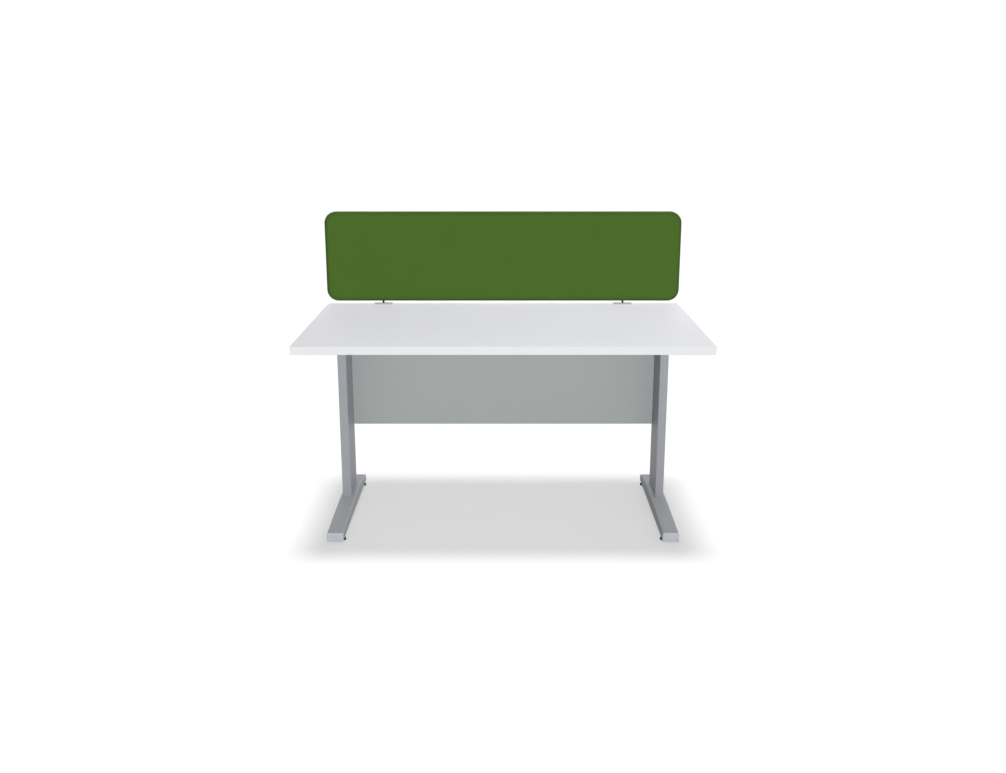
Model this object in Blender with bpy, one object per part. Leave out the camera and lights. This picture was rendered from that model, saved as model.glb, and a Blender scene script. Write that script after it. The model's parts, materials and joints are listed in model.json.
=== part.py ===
"""Study carrel: a single study desk on a cantilever steel frame, with a modesty
panel between its uprights and an upholstered privacy screen clamped along the
rear edge.

Metres, +Z up. The user sits at the -Y side, X runs along the desk. The origin
is on the floor, in the middle of the footprint.
"""

from math import cos, pi, radians, sin

import bmesh
import bpy
from mathutils import Vector

# ---------------------------------------------------------------- dimensions
DESK_WIDTH = 1.400
DESK_DEPTH = 0.800
DESK_HEIGHT = 0.730  # floor to the top surface, levelling glides screwed home
TOP_THICK = 0.028
BAND_THICK = 0.0017  # edge banding, glue line included in GAP
BAND_ROUND = 0.0015
GAP = 0.0003  # clearance left between parts that touch

Y_CENTRE = -0.0025  # desk centre: the screen and clamps stand 5 mm proud behind it

UPRIGHT_IN, UPRIGHT_OUT = 0.5780, 0.6095  # inner and outer side, from the middle
UPRIGHT_FRONT, UPRIGHT_REAR = -0.002, 0.158
UPRIGHT_WALL = 0.0025
UPRIGHT_LIP = 0.010
UPRIGHT_ROUND = 0.003
UPRIGHT_TOP = 0.6984
COVER_LOW, COVER_HIGH = 0.0625, 0.612

FOOT_IN, FOOT_OUT = 0.5625, 0.6205
FOOT_HALF = 0.315
FOOT_LOW = 0.011
FOOT_SEAT = 0.053
FOOT_FRONT_HIGH, FOOT_REAR_HIGH = 0.038, 0.034
FOOT_SEAT_FRONT, FOOT_SEAT_REAR = -0.012, 0.168
FOOT_WALL, FOOT_ROOF = 0.003, 0.004
FOOT_ROUND = 0.005
CAP_LENGTH = 0.003
CAP_FRONT_LOW = 0.0072  # the front cap's nose hangs below the channel

GLIDE_Y = 0.280
GLIDE_X = 0.5915
GLIDE_HALF_X, GLIDE_HALF_Y = 0.033, 0.0175  # a long oval laid across the foot
GLIDE_PAD_HIGH = 0.0104
GLIDE_RECESS_R = 0.0092
STEM_R = 0.005  # M10
STEM_TOP = 0.0325

ARM_IN, ARM_OUT = 0.5745, 0.6130
ARM_SHEET = 0.003
ARM_HALF = 0.300
ARM_LOW = 0.642
ARM_TIP_FRONT, ARM_TIP_REAR = 0.682, 0.672

BEAM_FRONT, BEAM_REAR = 0.055, 0.085
BEAM_LOW, BEAM_HIGH = 0.647, 0.691
BEAM_SHEET = 0.0025

PANEL_HALF = 0.577
PANEL_FRONT, PANEL_REAR = 0.1387, 0.1567
PANEL_LOW, PANEL_HIGH = 0.304, 0.640

SCREEN_HALF = 0.700
SCREEN_LOW, SCREEN_HIGH = 0.7435, 1.0955
SCREEN_MID = 0.390
SCREEN_THICK = 0.030
SCREEN_CORNER = 0.045
CORE_THICK = 0.018
PAD_RIM = 0.0057

CLAMP_X = 0.478
CLAMP_HALF = 0.0357
CLAMP_SHEET = 0.0032
CLAMP_FRONT = 0.375
JAW_LOW, JAW_THICK, JAW_FRONT = 0.655, 0.005, 0.342
POST_R = 0.0040
POST_TOP = 0.790
CLAMP_SCREW_Y = 0.364
CLAMP_SCREW_R = 0.004  # M8
CLAMP_PAD_R = 0.012
KNOB_R = 0.017
KNOB_LOW, KNOB_HIGH = 0.606, 0.621

TOP_UNDER = DESK_HEIGHT - TOP_THICK
MID_X = (UPRIGHT_IN + UPRIGHT_OUT) / 2
SIDES = (("left", -1), ("right", 1))

for old in list(bpy.data.objects):
    bpy.data.objects.remove(old, do_unlink=True)


# ----------------------------------------------------------------- materials
def material(name, rgb, roughness, metallic=0.0):
    m = bpy.data.materials.new(name)
    m.use_nodes = True
    shader = m.node_tree.nodes["Principled BSDF"]
    shader.inputs["Base Color"].default_value = (*rgb, 1)
    shader.inputs["Roughness"].default_value = roughness
    shader.inputs["Metallic"].default_value = metallic
    m.diffuse_color = (*rgb, 1)
    return m


WHITE = material("white_melamine", (0.80, 0.80, 0.81), 0.45)
WHITE_EDGE = material("white_edging", (0.82, 0.82, 0.83), 0.40)
SILVER = material("silver_powder_coat", (0.36, 0.38, 0.40), 0.42, 0.35)
SILVER_COVER = material("cover_steel", (0.27, 0.29, 0.31), 0.42, 0.35)
SILVER_CAP = material("silver_plastic", (0.50, 0.52, 0.55), 0.45)
GREY_BOARD = material("grey_melamine", (0.36, 0.38, 0.37), 0.50)
GREEN = material("green_fabric", (0.070, 0.147, 0.025), 0.90)
CORE = material("core_board", (0.46, 0.33, 0.20), 0.80)
CLAMP = material("clamp_plate", (0.52, 0.51, 0.56), 0.40, 0.35)
BLACK_STEEL = material("black_steel", (0.012, 0.012, 0.013), 0.35, 0.3)
BLACK = material("black_plastic", (0.015, 0.015, 0.016), 0.55)
STEEL = material("zinc_steel", (0.60, 0.61, 0.62), 0.35, 1.0)


# ------------------------------------------------------------ modelling tools
def place(name, bm, mat, origin, helper=False):
    """The finished bmesh as an object whose origin is at that point."""
    origin = Vector(origin)
    bmesh.ops.translate(bm, verts=bm.verts, vec=-origin)
    bmesh.ops.remove_doubles(bm, verts=bm.verts, dist=1e-7)
    bmesh.ops.recalc_face_normals(bm, faces=bm.faces)
    mesh = bpy.data.meshes.new(name)
    bm.to_mesh(mesh)
    bm.free()
    obj = bpy.data.objects.new(name, mesh)
    bpy.context.scene.collection.objects.link(obj)
    obj.location = origin + Vector((0, Y_CENTRE, 0))
    if helper:
        obj.hide_render = True
        obj.display_type = "WIRE"
    else:
        mesh.materials.append(mat)
    return obj


def extruded(outline, axis, low, high):
    """A closed outline in the plane across the axis, extruded along it.
    The outline's pairs are (y, z) for X, (x, z) for Y and (x, y) for Z."""
    put = {
        "X": lambda a, b, c: (c, a, b),
        "Y": lambda a, b, c: (a, c, b),
        "Z": lambda a, b, c: (a, b, c),
    }[axis]
    bm = bmesh.new()
    face = bm.faces.new([bm.verts.new(put(a, b, low)) for a, b in outline])
    step = Vector(put(0, 0, high - low))
    grown = bmesh.ops.extrude_face_region(bm, geom=[face])
    bmesh.ops.translate(
        bm, verts=[g for g in grown["geom"] if isinstance(g, bmesh.types.BMVert)], vec=step
    )
    return bm


def block(low, high):
    (x0, y0, z0), (x1, y1, z1) = low, high
    return extruded([(x0, y0), (x1, y0), (x1, y1), (x0, y1)], "Z", z0, z1)


def turned(profile, centre, segments, axis="Z"):
    """(radius, height) pairs turned round an axis through the centre. The
    profile starts and ends on the axis."""
    bm = bmesh.new()
    cx, cy, cz = centre
    rings = []
    for r, h in profile:
        if r < 1e-9:
            ring = [(0.0, 0.0)]
        else:
            ring = [
                (r * cos(2 * pi * i / segments), r * sin(2 * pi * i / segments))
                for i in range(segments)
            ]
        rings.append(
            [
                bm.verts.new(
                    (cx + a, cy + b, cz + h)
                    if axis == "Z"
                    else (cx + a, cy + h, cz + b)
                    if axis == "Y"
                    else (cx + h, cy + a, cz + b)
                )
                for a, b in ring
            ]
        )
    for low, high in zip(rings, rings[1:]):
        n = max(len(low), len(high))
        for i in range(n):
            j = (i + 1) % n
            loop = [low[i % len(low)], low[j % len(low)], high[j % len(high)], high[i % len(high)]]
            unique = []
            for v in loop:
                if v not in unique:
                    unique.append(v)
            if len(unique) > 2:
                bm.faces.new(unique)
    return bm


def rod(centre, radius, low, high, segments=16, axis="Z"):
    """A plain cylinder between two heights measured along its axis."""
    return turned([(0, low), (radius, low), (radius, high), (0, high)], centre, segments, axis)


def rounded(outline, radii, steps=3):
    """The outline with a fillet of the given radius at each corner."""
    out = []
    n = len(outline)
    for i, (corner, r) in enumerate(zip(outline, radii)):
        p, a, b = Vector(corner), Vector(outline[i - 1]), Vector(outline[(i + 1) % n])
        if r <= 0:
            out.append(tuple(p))
            continue
        to_a, to_b = (a - p).normalized(), (b - p).normalized()
        half = to_a.angle(to_b) / 2
        along = r / max(1e-9, abs(sin(half) / cos(half)))
        centre = p + (to_a + to_b).normalized() * (r / sin(half))
        start, end = p + to_a * along - centre, p + to_b * along - centre
        turn = start.angle_signed(end)
        for k in range(steps + 1):
            t = -turn * k / steps
            out.append(
                (
                    centre.x + start.x * cos(t) - start.y * sin(t),
                    centre.y + start.x * sin(t) + start.y * cos(t),
                )
            )
    return out


def boolean(obj, helper, operation):
    mod = obj.modifiers.new(helper.name, "BOOLEAN")
    mod.operation = operation
    mod.solver = "EXACT"
    mod.object = helper


def cut(obj, name, bm):
    boolean(obj, place(name, bm, None, (0, 0, 0), helper=True), "DIFFERENCE")


def add(obj, name, bm):
    boolean(obj, place(name, bm, None, (0, 0, 0), helper=True), "UNION")


def smooth(obj, degrees=35):
    obj.data.shade_smooth()
    obj.data.set_sharp_from_angle(angle=radians(degrees))


def child(obj, parent):
    bpy.context.view_layer.update()
    obj.parent = parent
    obj.matrix_parent_inverse = parent.matrix_world.inverted()


carrel = bpy.data.objects.new("carrel", None)
bpy.context.scene.collection.objects.link(carrel)
carrel.location = (0, Y_CENTRE, 0)
fixed = []  # every piece that doesn't move


def keep(obj):
    fixed.append(obj)
    return obj


# ------------------------------------------------------------------- desktop
half_w, half_d = DESK_WIDTH / 2, DESK_DEPTH / 2
board_w, board_d = half_w - BAND_THICK - GAP, half_d - BAND_THICK - GAP

desk_top = keep(
    place(
        "desk_top",
        block((-board_w, -board_d, TOP_UNDER), (board_w, board_d, DESK_HEIGHT)),
        WHITE,
        (0, 0, DESK_HEIGHT),
    )
)


def band_profile(inner, outer):
    """Edge banding seen from its end: square at the glue line, arris rounded outside."""
    return rounded(
        [(inner, TOP_UNDER), (outer, TOP_UNDER), (outer, DESK_HEIGHT), (inner, DESK_HEIGHT)],
        [0, BAND_ROUND, BAND_ROUND, 0],
    )


for name, sign in (("front", -1), ("rear", 1)):
    keep(
        place(
            "edge_band_" + name,
            extruded(band_profile(sign * (half_d - BAND_THICK), sign * half_d), "X", -half_w, half_w),
            WHITE_EDGE,
            (0, sign * half_d, TOP_UNDER),
        )
    )
for name, sign in SIDES:
    keep(
        place(
            "edge_band_" + name,
            extruded(band_profile(sign * (half_w - BAND_THICK), sign * half_w), "Y", -board_d, board_d),
            WHITE_EDGE,
            (sign * half_w, 0, TOP_UNDER),
        )
    )


# ---------------------------------------------------------------- leg frames
BOLT_Y = (0.035, 0.121)  # upright to foot
ARM_SCREW_Y = (-0.220, 0.220)  # arm to desktop
LUG_Z = (0.360, 0.580)  # modesty panel lugs
LUG_X = 0.556
BEAM_BOLT_Y, BEAM_BOLT_Z = 0.103, (BEAM_LOW + BEAM_HIGH) / 2


def foot_section(x0, x1, low, high, r):
    """One slice across the foot: flat below, long edges rounded above."""
    return rounded([(x0, low), (x1, low), (x1, high), (x0, high)], [0, 0, r, r], 3)


def lofted(stations):
    """A solid through slices across Y: (y, [(x, z), ...]) with equal point counts."""
    bm = bmesh.new()
    rings = [[bm.verts.new((x, y, z)) for x, z in ring] for y, ring in stations]
    for a, b in zip(rings, rings[1:]):
        for i in range(len(a)):
            j = (i + 1) % len(a)
            bm.faces.new((a[i], a[j], b[j], b[i]))
    bm.faces.new(rings[0])
    bm.faces.new(rings[-1])
    return bm


def foot_top(y):
    """Height of the foot's top: level under the upright, falling to both ends."""
    if y < FOOT_SEAT_FRONT:
        t = (FOOT_SEAT_FRONT - y) / (FOOT_SEAT_FRONT + FOOT_HALF)
        return FOOT_SEAT + t * (FOOT_FRONT_HIGH - FOOT_SEAT)
    if y > FOOT_SEAT_REAR:
        t = (y - FOOT_SEAT_REAR) / (FOOT_HALF - FOOT_SEAT_REAR)
        return FOOT_SEAT + t * (FOOT_REAR_HIGH - FOOT_SEAT)
    return FOOT_SEAT


for side, s in SIDES:

    def across(a, b):
        """Two X positions of this side in rising order."""
        return tuple(sorted((s * a, s * b)))

    # upright: a folded C section, open on its inner side for cables
    u_in, u_out, wall = UPRIGHT_IN, UPRIGHT_OUT, UPRIGHT_WALL
    c_section = [
        (u_in, UPRIGHT_FRONT + UPRIGHT_LIP),
        (u_in, UPRIGHT_FRONT),
        (u_out, UPRIGHT_FRONT),
        (u_out, UPRIGHT_REAR),
        (u_in, UPRIGHT_REAR),
        (u_in, UPRIGHT_REAR - UPRIGHT_LIP),
        (u_in + wall, UPRIGHT_REAR - UPRIGHT_LIP),
        (u_in + wall, UPRIGHT_REAR - wall),
        (u_out - wall, UPRIGHT_REAR - wall),
        (u_out - wall, UPRIGHT_FRONT + wall),
        (u_in + wall, UPRIGHT_FRONT + wall),
        (u_in + wall, UPRIGHT_FRONT + UPRIGHT_LIP),
    ]
    r = UPRIGHT_ROUND
    c_section = rounded(c_section, [0, r, r, r, r, 0, 0, 0, 0, 0, 0, 0])
    upright = keep(
        place(
            f"{side}_upright",
            extruded([(s * x, y) for x, y in c_section], "Z", FOOT_SEAT + GAP, UPRIGHT_TOP),
            SILVER,
            (s * MID_X, 0, FOOT_SEAT + GAP),
        )
    )
    x0, x1 = across(0.5790, 0.6083)
    add(upright, f"base_plate_{side}", block((x0, -0.0008, 0.0543), (x1, 0.1568, 0.0603)))
    for i, y in enumerate(BOLT_Y):
        cut(upright, f"base_hole_{side}_{i}", rod((s * MID_X, y, 0), 0.0045, 0.050, 0.065, 12))
    x0, x1 = across(0.5855, 0.6020)
    cut(upright, f"cable_exit_{side}", block((x0, 0.150, 0.075), (x1, 0.165, 0.125)))
    for i, z in enumerate(LUG_Z):
        x0, x1 = across(0.545, 0.590)
        add(upright, f"lug_{side}_{i}", block((x0, 0.1570, z - 0.02), (x1, 0.1600, z + 0.02)))
        cut(
            upright,
            f"lug_hole_{side}_{i}",
            rod((s * LUG_X, 0, z), 0.0028, 0.1565, 0.1605, 12, "Y"),
        )

    # cable cover: a clip-in strip whose barbs hook behind the upright's lips
    f0, f1 = UPRIGHT_FRONT + UPRIGHT_LIP + 0.0005, UPRIGHT_REAR - UPRIGHT_LIP - 0.0005
    c0, c1, c2, c3 = u_in + 0.0002, u_in + 0.0022, u_in + 0.0032, u_in + 0.0082
    cover_section = [
        (c0, f0),
        (c0, f1),
        (c2, f1),
        (c2, f1 + 0.0025),
        (c3, f1 - 0.0010),
        (c3, f1 - 0.0025),
        (c1, f1 - 0.0025),
        (c1, f0 + 0.0025),
        (c3, f0 + 0.0025),
        (c3, f0 + 0.0010),
        (c2, f0 - 0.0025),
        (c2, f0),
    ]
    keep(
        place(
            f"{side}_cable_cover",
            extruded([(s * x, y) for x, y in cover_section], "Z", COVER_LOW, COVER_HIGH),
            SILVER_COVER,
            (s * u_in, (f0 + f1) / 2, COVER_LOW),
        )
    )

    # foot: a pressed channel, open below, deepest under the upright
    body_end = FOOT_HALF - CAP_LENGTH
    stations = (-body_end, FOOT_SEAT_FRONT, FOOT_SEAT_REAR, body_end)
    foot = keep(
        place(
            f"{side}_foot",
            lofted(
                [
                    (y, foot_section(*across(FOOT_IN, FOOT_OUT), FOOT_LOW, foot_top(y), FOOT_ROUND))
                    for y in stations
                ]
            ),
            SILVER,
            (s * GLIDE_X, 0, FOOT_LOW),
        )
    )
    hollow = across(FOOT_IN + FOOT_WALL, FOOT_OUT - FOOT_WALL)
    cut(
        foot,
        f"foot_hollow_{side}",
        lofted(
            [
                (
                    y,
                    foot_section(
                        *hollow, FOOT_LOW - 0.01, foot_top(y) - FOOT_ROOF, FOOT_ROUND - FOOT_WALL
                    ),
                )
                for y in (-body_end - 0.02, FOOT_SEAT_FRONT, FOOT_SEAT_REAR, body_end + 0.02)
            ]
        ),
    )
    for i, y in enumerate(BOLT_Y):
        cut(foot, f"foot_hole_{side}_{i}", rod((s * MID_X, y, 0), 0.0045, 0.045, 0.058, 12))
        keep(
            place(
                f"{side}_foot_bolt_{('front', 'rear')[i]}",
                # hex head in the channel, shank up into the upright's base plate
                turned(
                    [(0, 0.0432), (0.0072, 0.0432), (0.0072, 0.0486), (0, 0.0486)],
                    (s * MID_X, y, 0),
                    6,
                ),
                STEEL,
                (s * MID_X, y, 0.0432),
            )
        )
        bolt = fixed[-1]
        add(bolt, f"foot_shank_{side}_{i}", rod((s * MID_X, y, 0), 0.0040, 0.0480, 0.0690, 12))

    # end caps: a solid nose with a short plug that fills the channel's mouth
    for end, sy in (("front", -1), ("rear", 1)):
        y_out, y_in, y_plug = sy * FOOT_HALF, sy * (body_end + GAP), sy * (body_end - 0.0100)
        y_bevel = sy * (FOOT_HALF - 0.0010)
        x0, x1 = across(FOOT_IN, FOOT_OUT)
        low = CAP_FRONT_LOW if end == "front" else FOOT_LOW
        slices = [
            (y_in, foot_section(x0, x1, low, foot_top(y_in), FOOT_ROUND)),
            (y_bevel, foot_section(x0, x1, low, foot_top(y_bevel), FOOT_ROUND)),
            (
                y_out,
                foot_section(x0 + 0.0008, x1 - 0.0008, low + 0.0008, foot_top(y_out) - 0.0008, FOOT_ROUND),
            ),
        ]
        cap = keep(
            place(
                f"{side}_foot_cap_{end}",
                lofted(slices),
                SILVER_CAP,
                (s * GLIDE_X, y_in, FOOT_LOW),
            )
        )
        p0, p1 = hollow[0] + 0.0004, hollow[1] - 0.0004
        roof = foot_top(y_in) - FOOT_ROOF - 0.0008
        y0, y1 = sorted((y_in + sy * 0.0010, y_plug))
        add(cap, f"cap_plug_{side}_{end}", block((p0, y0, FOOT_LOW + 0.0012), (p1, y1, roof)))

    # nut plates that carry the glides, welded between the channel's walls
    for end, sy in (("front", -1), ("rear", 1)):
        y = sy * GLIDE_Y
        x0, x1 = hollow[0] + GAP, hollow[1] - GAP
        plate = keep(
            place(
                f"glide_nut_plate_{end}_{side}",
                block((x0, y - 0.012, 0.0114), (x1, y + 0.012, 0.0214)),
                STEEL,
                (s * GLIDE_X, y, 0.0114),
            )
        )
        cut(plate, f"glide_thread_{side}_{end}", rod((s * GLIDE_X, y, 0), 0.00535, 0.005, 0.030, 20))

    # arm: a folded channel, open below, that wraps the upright's head
    arm_outline = [
        (-ARM_HALF, TOP_UNDER - GAP),
        (-ARM_HALF, ARM_TIP_FRONT),
        (FOOT_SEAT_FRONT, ARM_LOW),
        (FOOT_SEAT_REAR, ARM_LOW),
        (ARM_HALF, ARM_TIP_REAR),
        (ARM_HALF, TOP_UNDER - GAP),
    ]
    arm = keep(
        place(
            f"{side}_top_arm",
            extruded(arm_outline, "X", *across(ARM_IN, ARM_OUT)),
            SILVER,
            (s * MID_X, 0, TOP_UNDER),
        )
    )
    x0, x1 = across(UPRIGHT_IN - GAP, UPRIGHT_OUT + GAP)
    cut(
        arm,
        f"arm_hollow_{side}",
        block((x0, -ARM_HALF - 0.01, ARM_LOW - 0.01), (x1, ARM_HALF + 0.01, TOP_UNDER - GAP - ARM_SHEET)),
    )
    for i, y in enumerate(ARM_SCREW_Y):
        cut(arm, f"arm_hole_{side}_{i}", rod((s * MID_X, y, 0), 0.0030, 0.690, 0.710, 12))
        cut(desk_top, f"pilot_{side}_{i}", rod((s * MID_X, y, 0), 0.0026, 0.695, 0.7180, 10))
        screw = keep(
            place(
                f"{side}_arm_screw_{('front', 'rear')[i]}",
                turned(
                    [
                        (0, 0.6950),
                        (0.0040, 0.6950),
                        (0.0055, 0.6962),
                        (0.0055, 0.6984),
                        (0.0022, 0.6984),
                        (0.0022, 0.7140),
                        (0, 0.7165),
                    ],
                    (s * MID_X, y, 0),
                    12,
                ),
                STEEL,
                (s * MID_X, y, 0.6984),
            )
        )
        smooth(screw)
    cut(
        arm,
        f"arm_bolt_hole_{side}",
        rod((0, BEAM_BOLT_Y, BEAM_BOLT_Z), 0.0044, *across(0.570, 0.5785), 12, "X"),
    )
    # the upright's front and rear lips stay whole: the bolt's tail passes between them
    bolt = keep(
        place(
            f"{side}_beam_bolt",
            rod((0, BEAM_BOLT_Y, BEAM_BOLT_Z), 0.0072, *across(0.5660, 0.5709), 6, "X"),
            STEEL,
            (s * 0.5709, BEAM_BOLT_Y, BEAM_BOLT_Z),
        )
    )
    add(
        bolt,
        f"beam_shank_{side}",
        rod((0, BEAM_BOLT_Y, BEAM_BOLT_Z), 0.0039, *across(0.5700, 0.5860), 12, "X"),
    )

# ---------------------------------------------------------------- cross beam
b0, b1, z0, z1, w = BEAM_FRONT, BEAM_REAR, BEAM_LOW, BEAM_HIGH, BEAM_SHEET
beam = keep(
    place(
        "cross_beam",
        extruded(
            [
                (b0, z0),
                (b1, z0),
                (b1, z0 + w),
                (b0 + w, z0 + w),
                (b0 + w, z1 - w),
                (b1, z1 - w),
                (b1, z1),
                (b0, z1),
            ],
            "X",
            -0.5725,
            0.5725,
        ),
        SILVER,
        (0, b0, z0),
    )
)
for side, s in SIDES:
    x0, x1 = sorted((s * 0.5712, s * (ARM_IN - GAP)))
    add(
        beam,
        f"beam_end_{side}",
        block((x0, b0 - 0.003, z0 - 0.001), (x1, 0.118, z1 + 0.001)),
    )
    x0, x1 = sorted((s * 0.5700, s * 0.5760))
    cut(beam, f"beam_hole_{side}", rod((0, BEAM_BOLT_Y, BEAM_BOLT_Z), 0.0044, x0, x1, 12, "X"))

# ------------------------------------------------------------- modesty panel
panel = keep(
    place(
        "modesty_panel",
        block((-PANEL_HALF, PANEL_FRONT, PANEL_LOW), (PANEL_HALF, PANEL_REAR, PANEL_HIGH)),
        GREY_BOARD,
        (0, PANEL_FRONT, PANEL_LOW),
    )
)
for side, s in SIDES:
    for i, z in enumerate(LUG_Z):
        cut(panel, f"panel_pilot_{side}_{i}", rod((s * LUG_X, 0, z), 0.0026, 0.1430, 0.1600, 10, "Y"))
        screw = keep(
            place(
                f"{side}_panel_screw_{('lower', 'upper')[i]}",
                turned(
                    [
                        (0, 0.1450),
                        (0.0021, 0.1475),
                        (0.0021, 0.1603),
                        (0.0055, 0.1603),
                        (0.0055, 0.1622),
                        (0.0040, 0.1634),
                        (0, 0.1634),
                    ],
                    (s * LUG_X, 0, z),
                    12,
                    "Y",
                ),
                STEEL,
                (s * LUG_X, 0.1603, z),
            )
        )
        smooth(screw)


# -------------------------------------------------------------------- screen
def panel_outline(inset, steps=6):
    x, low, high = SCREEN_HALF - inset, SCREEN_LOW + inset, SCREEN_HIGH - inset
    return rounded([(-x, low), (x, low), (x, high), (-x, high)], [SCREEN_CORNER - inset] * 4, steps)


core_in = PAD_RIM + 2 * GAP
half_core, half_screen = CORE_THICK / 2, SCREEN_THICK / 2
core = keep(
    place(
        "screen_core",
        extruded(panel_outline(core_in), "Y", SCREEN_MID - half_core, SCREEN_MID + half_core),
        CORE,
        (0, SCREEN_MID, SCREEN_LOW),
    )
)
# Upholstery: a front and a rear pad, each a tray of foam and fabric that wraps
# the core's edge as far as the seam round the middle of the thickness.
for name, sy in (("front", -1), ("rear", 1)):
    y_seam = SCREEN_MID + sy * GAP / 2
    y_face = SCREEN_MID + sy * half_screen
    y_edge = SCREEN_MID + sy * (half_screen - 0.004)
    outer, face = panel_outline(0), panel_outline(0.004)
    pad = keep(
        place(
            f"screen_{name}_pad",
            lofted([(y_seam, outer), (y_edge, outer), (y_face, face)]),
            GREEN,
            (0, SCREEN_MID, SCREEN_LOW),
        )
    )
    y0, y1 = sorted((SCREEN_MID - sy * 0.002, SCREEN_MID + sy * (half_core + GAP)))
    cut(pad, f"pad_pocket_{name}", extruded(panel_outline(PAD_RIM), "Y", y0, y1))
    smooth(pad)
    for side, s in SIDES:
        cut(
            pad,
            f"pad_notch_{name}_{side}",
            rod((s * CLAMP_X, SCREEN_MID, 0), 0.0060, SCREEN_LOW - 0.01, SCREEN_LOW + 0.012, 16),
        )

# ----------------------------------------------------- screen clamps and posts
for side, s in SIDES:
    cx = s * CLAMP_X
    cut(core, f"core_bore_{side}", rod((cx, SCREEN_MID, 0), 0.0068, SCREEN_LOW, 0.7960, 16))
    socket = keep(
        place(
            f"{side}_post_socket",
            turned(
                [
                    (0, 0.7920),
                    (0.0044, 0.7920),
                    (0.0044, 0.7505),
                    (0.0065, 0.7505),
                    (0.0065, 0.7950),
                    (0, 0.7950),
                ],
                (cx, SCREEN_MID, 0),
                16,
            ),
            BLACK,
            (cx, SCREEN_MID, 0.7505),
        )
    )
    smooth(socket)
    plate_low = DESK_HEIGHT + GAP
    plate_high = plate_low + CLAMP_SHEET
    post = keep(
        place(
            f"{side}_screen_post",
            turned(
                [
                    (0, plate_high + GAP),
                    (POST_R, plate_high + GAP),
                    (POST_R, POST_TOP - 0.001),
                    (POST_R - 0.001, POST_TOP),
                    (0, POST_TOP),
                ],
                (cx, SCREEN_MID, 0),
                16,
            ),
            BLACK_STEEL,
            (cx, SCREEN_MID, plate_high + GAP),
        )
    )
    smooth(post)

    # one strip folded round the desk's rear edge: plate above, jaw below
    web_in, web_out = half_d + GAP, half_d + GAP + CLAMP_SHEET
    bracket = keep(
        place(
            f"{side}_clamp_bracket",
            extruded(
                rounded(
                    [
                        (CLAMP_FRONT, plate_low),
                        (web_in, plate_low),
                        (web_in, JAW_LOW + JAW_THICK),
                        (JAW_FRONT, JAW_LOW + JAW_THICK),
                        (JAW_FRONT, JAW_LOW),
                        (web_out, JAW_LOW),
                        (web_out, plate_high),
                        (CLAMP_FRONT, plate_high),
                    ],
                    [0, 0, 0, 0.001, 0.001, 0.004, 0.003, 0.001],
                ),
                "X",
                cx - CLAMP_HALF,
                cx + CLAMP_HALF,
            ),
            CLAMP,
            (cx, half_d, DESK_HEIGHT),
        )
    )
    cut(
        bracket,
        f"jaw_thread_{side}",
        rod((cx, CLAMP_SCREW_Y, 0), 0.00435, JAW_LOW - 0.005, JAW_LOW + JAW_THICK + 0.005, 20),
    )

for obj in fixed:
    child(obj, carrel)

def oval_pad(skirt, recess, centre, segments):
    """A pointed oval with a round recess in its top. The skirt's pairs are
    (inset, height) from the sole up, the recess's (radius, height) down."""
    bm = bmesh.new()
    cx, cy, cz = centre
    turns = [2 * pi * i / segments for i in range(segments)]
    rings = []
    for inset, z in skirt:
        rx, ry = GLIDE_HALF_X - inset, GLIDE_HALF_Y - inset
        rings.append(
            [
                bm.verts.new((cx + rx * cos(a), cy + ry * sin(a) * abs(sin(a)) ** 0.4, cz + z))
                for a in turns
            ]
        )
    for radius, z in recess:
        rings.append(
            [bm.verts.new((cx + radius * cos(a), cy + radius * sin(a), cz + z)) for a in turns]
        )
    for low, high in zip(rings, rings[1:]):
        for i in range(segments):
            j = (i + 1) % segments
            bm.faces.new([low[i], low[j], high[j], high[i]])
    bm.faces.new(rings[0])
    bm.faces.new(rings[-1])
    return bm


# -------------------------------------------------- moving: levelling glides
# A glide travels straight down as its stem is turned out of the nut plate.
# The pad swivels on the stem's ball end, so it travels without turning.
for side, s in SIDES:
    for end, sy in (("front", -1), ("rear", 1)):
        centre = (s * GLIDE_X, sy * GLIDE_Y, 0)
        h, r = GLIDE_PAD_HIGH, GLIDE_RECESS_R
        pad = place(
            f"glide_pad_{end}_{side}",
            oval_pad(
                [
                    (0.0010, 0),
                    (0, 0.0010),
                    (0, h - 0.0020),
                    (0.0025, h),
                ],
                [(r, h), (r, 0.0030)],
                centre,
                36,
            ),
            BLACK,
            centre,
        )
        smooth(pad)
        child(pad, carrel)
        stem = place(
            f"glide_stem_{end}_{side}",
            turned(
                [
                    (0, 0.0034),
                    (0.0040, 0.0034),
                    (0.0055, 0.0046),
                    (0.0055, 0.0066),
                    (0.0050, 0.0072),
                    (STEM_R, STEM_TOP - 0.001),
                    (STEM_R - 0.001, STEM_TOP),
                    (0, STEM_TOP),
                ],
                centre,
                20,
            ),
            STEEL,
            centre,
        )
        add(
            stem,
            f"stem_collar_{side}_{end}",
            turned([(0, 0.0079), (0.0081, 0.0079), (0.0081, 0.0107), (0, 0.0107)], centre, 6),
        )
        smooth(stem)
        child(stem, pad)

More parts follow.
